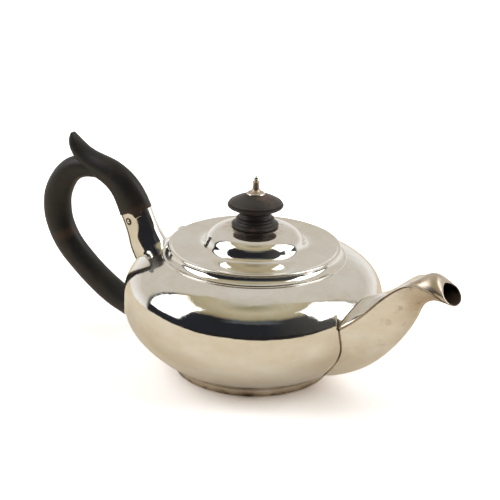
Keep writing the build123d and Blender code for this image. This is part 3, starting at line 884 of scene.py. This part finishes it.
def wood(name, dark, worn, wear, rough, grain_turn, worn_place=None):
    """Stained wood: fine grain runs along one axis; wear brings up the brown on patches."""
    material = bpy.data.materials.new(name)
    material.use_nodes = True
    paint = Paint(material.node_tree)
    place = paint.node("ShaderNodeTexCoord", output=3)
    stretched = paint.node("ShaderNodeMapping", {}, {
        "Vector": place, "Rotation": grain_turn, "Scale": (1.0, 1.0, 0.11)})
    grain = paint.noise(stretched, 1500.0, 4.0, 0.65)
    pores = paint.noise(stretched, 2600.0, 1.0, 0.5).over(0.66, 0.06)
    patches = paint.noise(place, 85.0, 3.0, 0.6)
    rubbed = patches.over(0.60, 0.22) * wear
    if worn_place:
        rubbed = (rubbed + worn_place(paint, place) * (0.5 + patches)).clamped()
    colour = paint.mix(rubbed * (0.4 + grain), dark, worn)
    colour = paint.mix(pores * 0.6, colour, (0.004, 0.003, 0.003, 1.0))
    height = grain * 0.6 - pores * 1.2 + 1.6 * paint.noise(place, 160.0, 2.0)
    bump = paint.node("ShaderNodeBump", {}, {"Distance": 0.00006, "Height": height})
    surface = paint.node("ShaderNodeBsdfPrincipled", {}, {
        "Base Color": colour, "Roughness": rough + 0.16 * grain + 0.14 * rubbed,
        "Normal": bump, "Specular IOR Level": 0.5})
    paint.node("ShaderNodeOutputMaterial", {}, [surface])
    return material


def worn_by_the_rim(paint, place):
    """Rubbed brown where the wood leaves the upper socket."""
    x, _, z = paint.axes(place)
    up = z * 0.904 - x * 0.427
    return up.between(0.1010, 0.1062, 0.003) * 0.55


grip.data.materials.append(wood(
    "grip_wood", rgb(32, 31, 31), rgb(86, 64, 50), 0.22, 0.34, (0.0, 1.1, 0.0), worn_by_the_rim
))
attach(grip, "pot")
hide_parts("handle_grip")


# ---------------------------------------------------------------- bezel
# A ring of silver sheet, soldered under the lid and rolled at its lower edge, steadies the lid
# in the mouth.
bezel = turned("lid_bezel_ring", [
    (44.6, 72.0), (44.6, 67.0), (44.45, 66.6), (44.1, 66.5), (43.7, 66.55), (43.5, 66.9),
    (43.5, 72.0), (44.6, 72.0),
], around=256)
bezel.data.materials.append(silver("bezel_silver", 0.5, 0.3))
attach(bezel, "lid")
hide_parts("lid_bezel")


# ---------------------------------------------------------------- knob
# Turned from dark wood on a silver stud: a spreading base, a ring, a narrow waist and a wide
# disc with a groove cut near its edge.
knob_floor = lid_crown + 0.02
disc = knob_floor + 12.2
seat = disc + 6.13
knob_profile = np.concatenate([
    [(stud_hole, knob_floor)],
    rounded_run([(12.6, knob_floor), (13.0, knob_floor + 0.2), (13.2, knob_floor + 0.8),
                 (12.8, knob_floor + 1.5), (12.0, knob_floor + 2.0)], 5),
    rounded_run([(11.7, knob_floor + 2.1), (11.1, knob_floor + 2.6), (10.7, knob_floor + 3.1)], 4),
    rounded_run([(10.5, knob_floor + 3.15), (10.8, knob_floor + 3.7), (10.6, knob_floor + 4.5),
                 (9.8, knob_floor + 5.1)], 6),
    rounded_run([(9.2, knob_floor + 5.2), (8.8, knob_floor + 6.3), (9.0, knob_floor + 7.4),
                 (9.8, knob_floor + 8.6), (11.8, knob_floor + 9.7), (14.0, disc - 1.5)], 6),
    rounded_run([(14.3, disc - 1.3), (15.3, disc - 0.7), (15.6, disc), (15.4, disc + 0.6)], 5),
    [(14.8, disc + 0.65)],
    rounded_run([(14.9, disc + 1.1), (14.7, disc + 1.6), (14.2, disc + 2.0)], 5),
    [(13.6, disc + 1.95)],
    rounded_run([(13.3, disc + 2.35), (11.4, disc + 3.5), (8.6, disc + 4.7), (6.6, disc + 5.6),
                 (5.4, disc + 6.1)], 6),
    [(stud_hole, seat), (stud_hole, knob_floor)],
])
knob = turned("turned_knob", knob_profile, around=192, sharp=28.0)
knob.data.materials.append(wood(
    "knob_wood_dry", rgb(60, 54, 53), rgb(122, 98, 90), 0.9, 0.36, (1.57, 0.0, 0.0)
))
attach(knob, "lid")
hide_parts("knob_button")


# ---------------------------------------------------------------- finial
# A cast silver spindle is screwed down on the knob, brown where it is never rubbed; its stud
# runs through the knob and the lid to the nut below.
stud_end = 78.75
finial_profile = np.concatenate([
    [(0.0, stud_end), (1.5, stud_end), (1.5, seat)],
    rounded_run([(5.0, seat), (5.2, seat + 0.35), (5.0, seat + 0.8)], 5),
    rounded_run([(4.7, seat + 0.85), (3.7, seat + 1.4), (2.7, seat + 2.1), (2.05, seat + 3.0),
                 (1.8, seat + 4.2), (1.65, seat + 5.4), (1.5, seat + 6.3)], 5),
    rounded_run([(1.8, seat + 6.4), (2.05, seat + 6.8), (1.8, seat + 7.3), (1.1, seat + 7.7)], 6),
    rounded_run([(0.85, seat + 7.9), (1.15, seat + 8.5), (1.25, seat + 9.1), (1.0, seat + 9.8),
                 (0.5, seat + 10.2), (0.0, seat + 10.3)], 6),
])
finial = turned("cast_finial", finial_profile, around=96, sharp=32.0)


def above_the_rim(paint, place):
    """Brown all over, except on the rim and the tip that fingers keep bright."""
    z = paint.axes(place)[2]
    return z.between((seat + 1.0) * MM, (seat + 8.6) * MM, 0.0006) * 1.25


finial.data.materials.append(silver("finial_silver", 0.4, 0.5, above_the_rim))
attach(finial, "lid")
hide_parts("knob_finial")


# ---------------------------------------------------------------- hinge and nut
# Three knuckles on one pin join the lid to the collar, and a square nut with its washer holds
# the knob from inside the lid: all plain silver, straight from the model.
fittings = silver("fittings_silver", 0.3, 0.5)
for name in (
    "hinge_body_knuckles", "hinge_pin", "hinge_lid_knuckle", "knob_washer", "knob_nut"
):
    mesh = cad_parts[name].data
    mesh.materials.clear()
    mesh.materials.append(fittings)
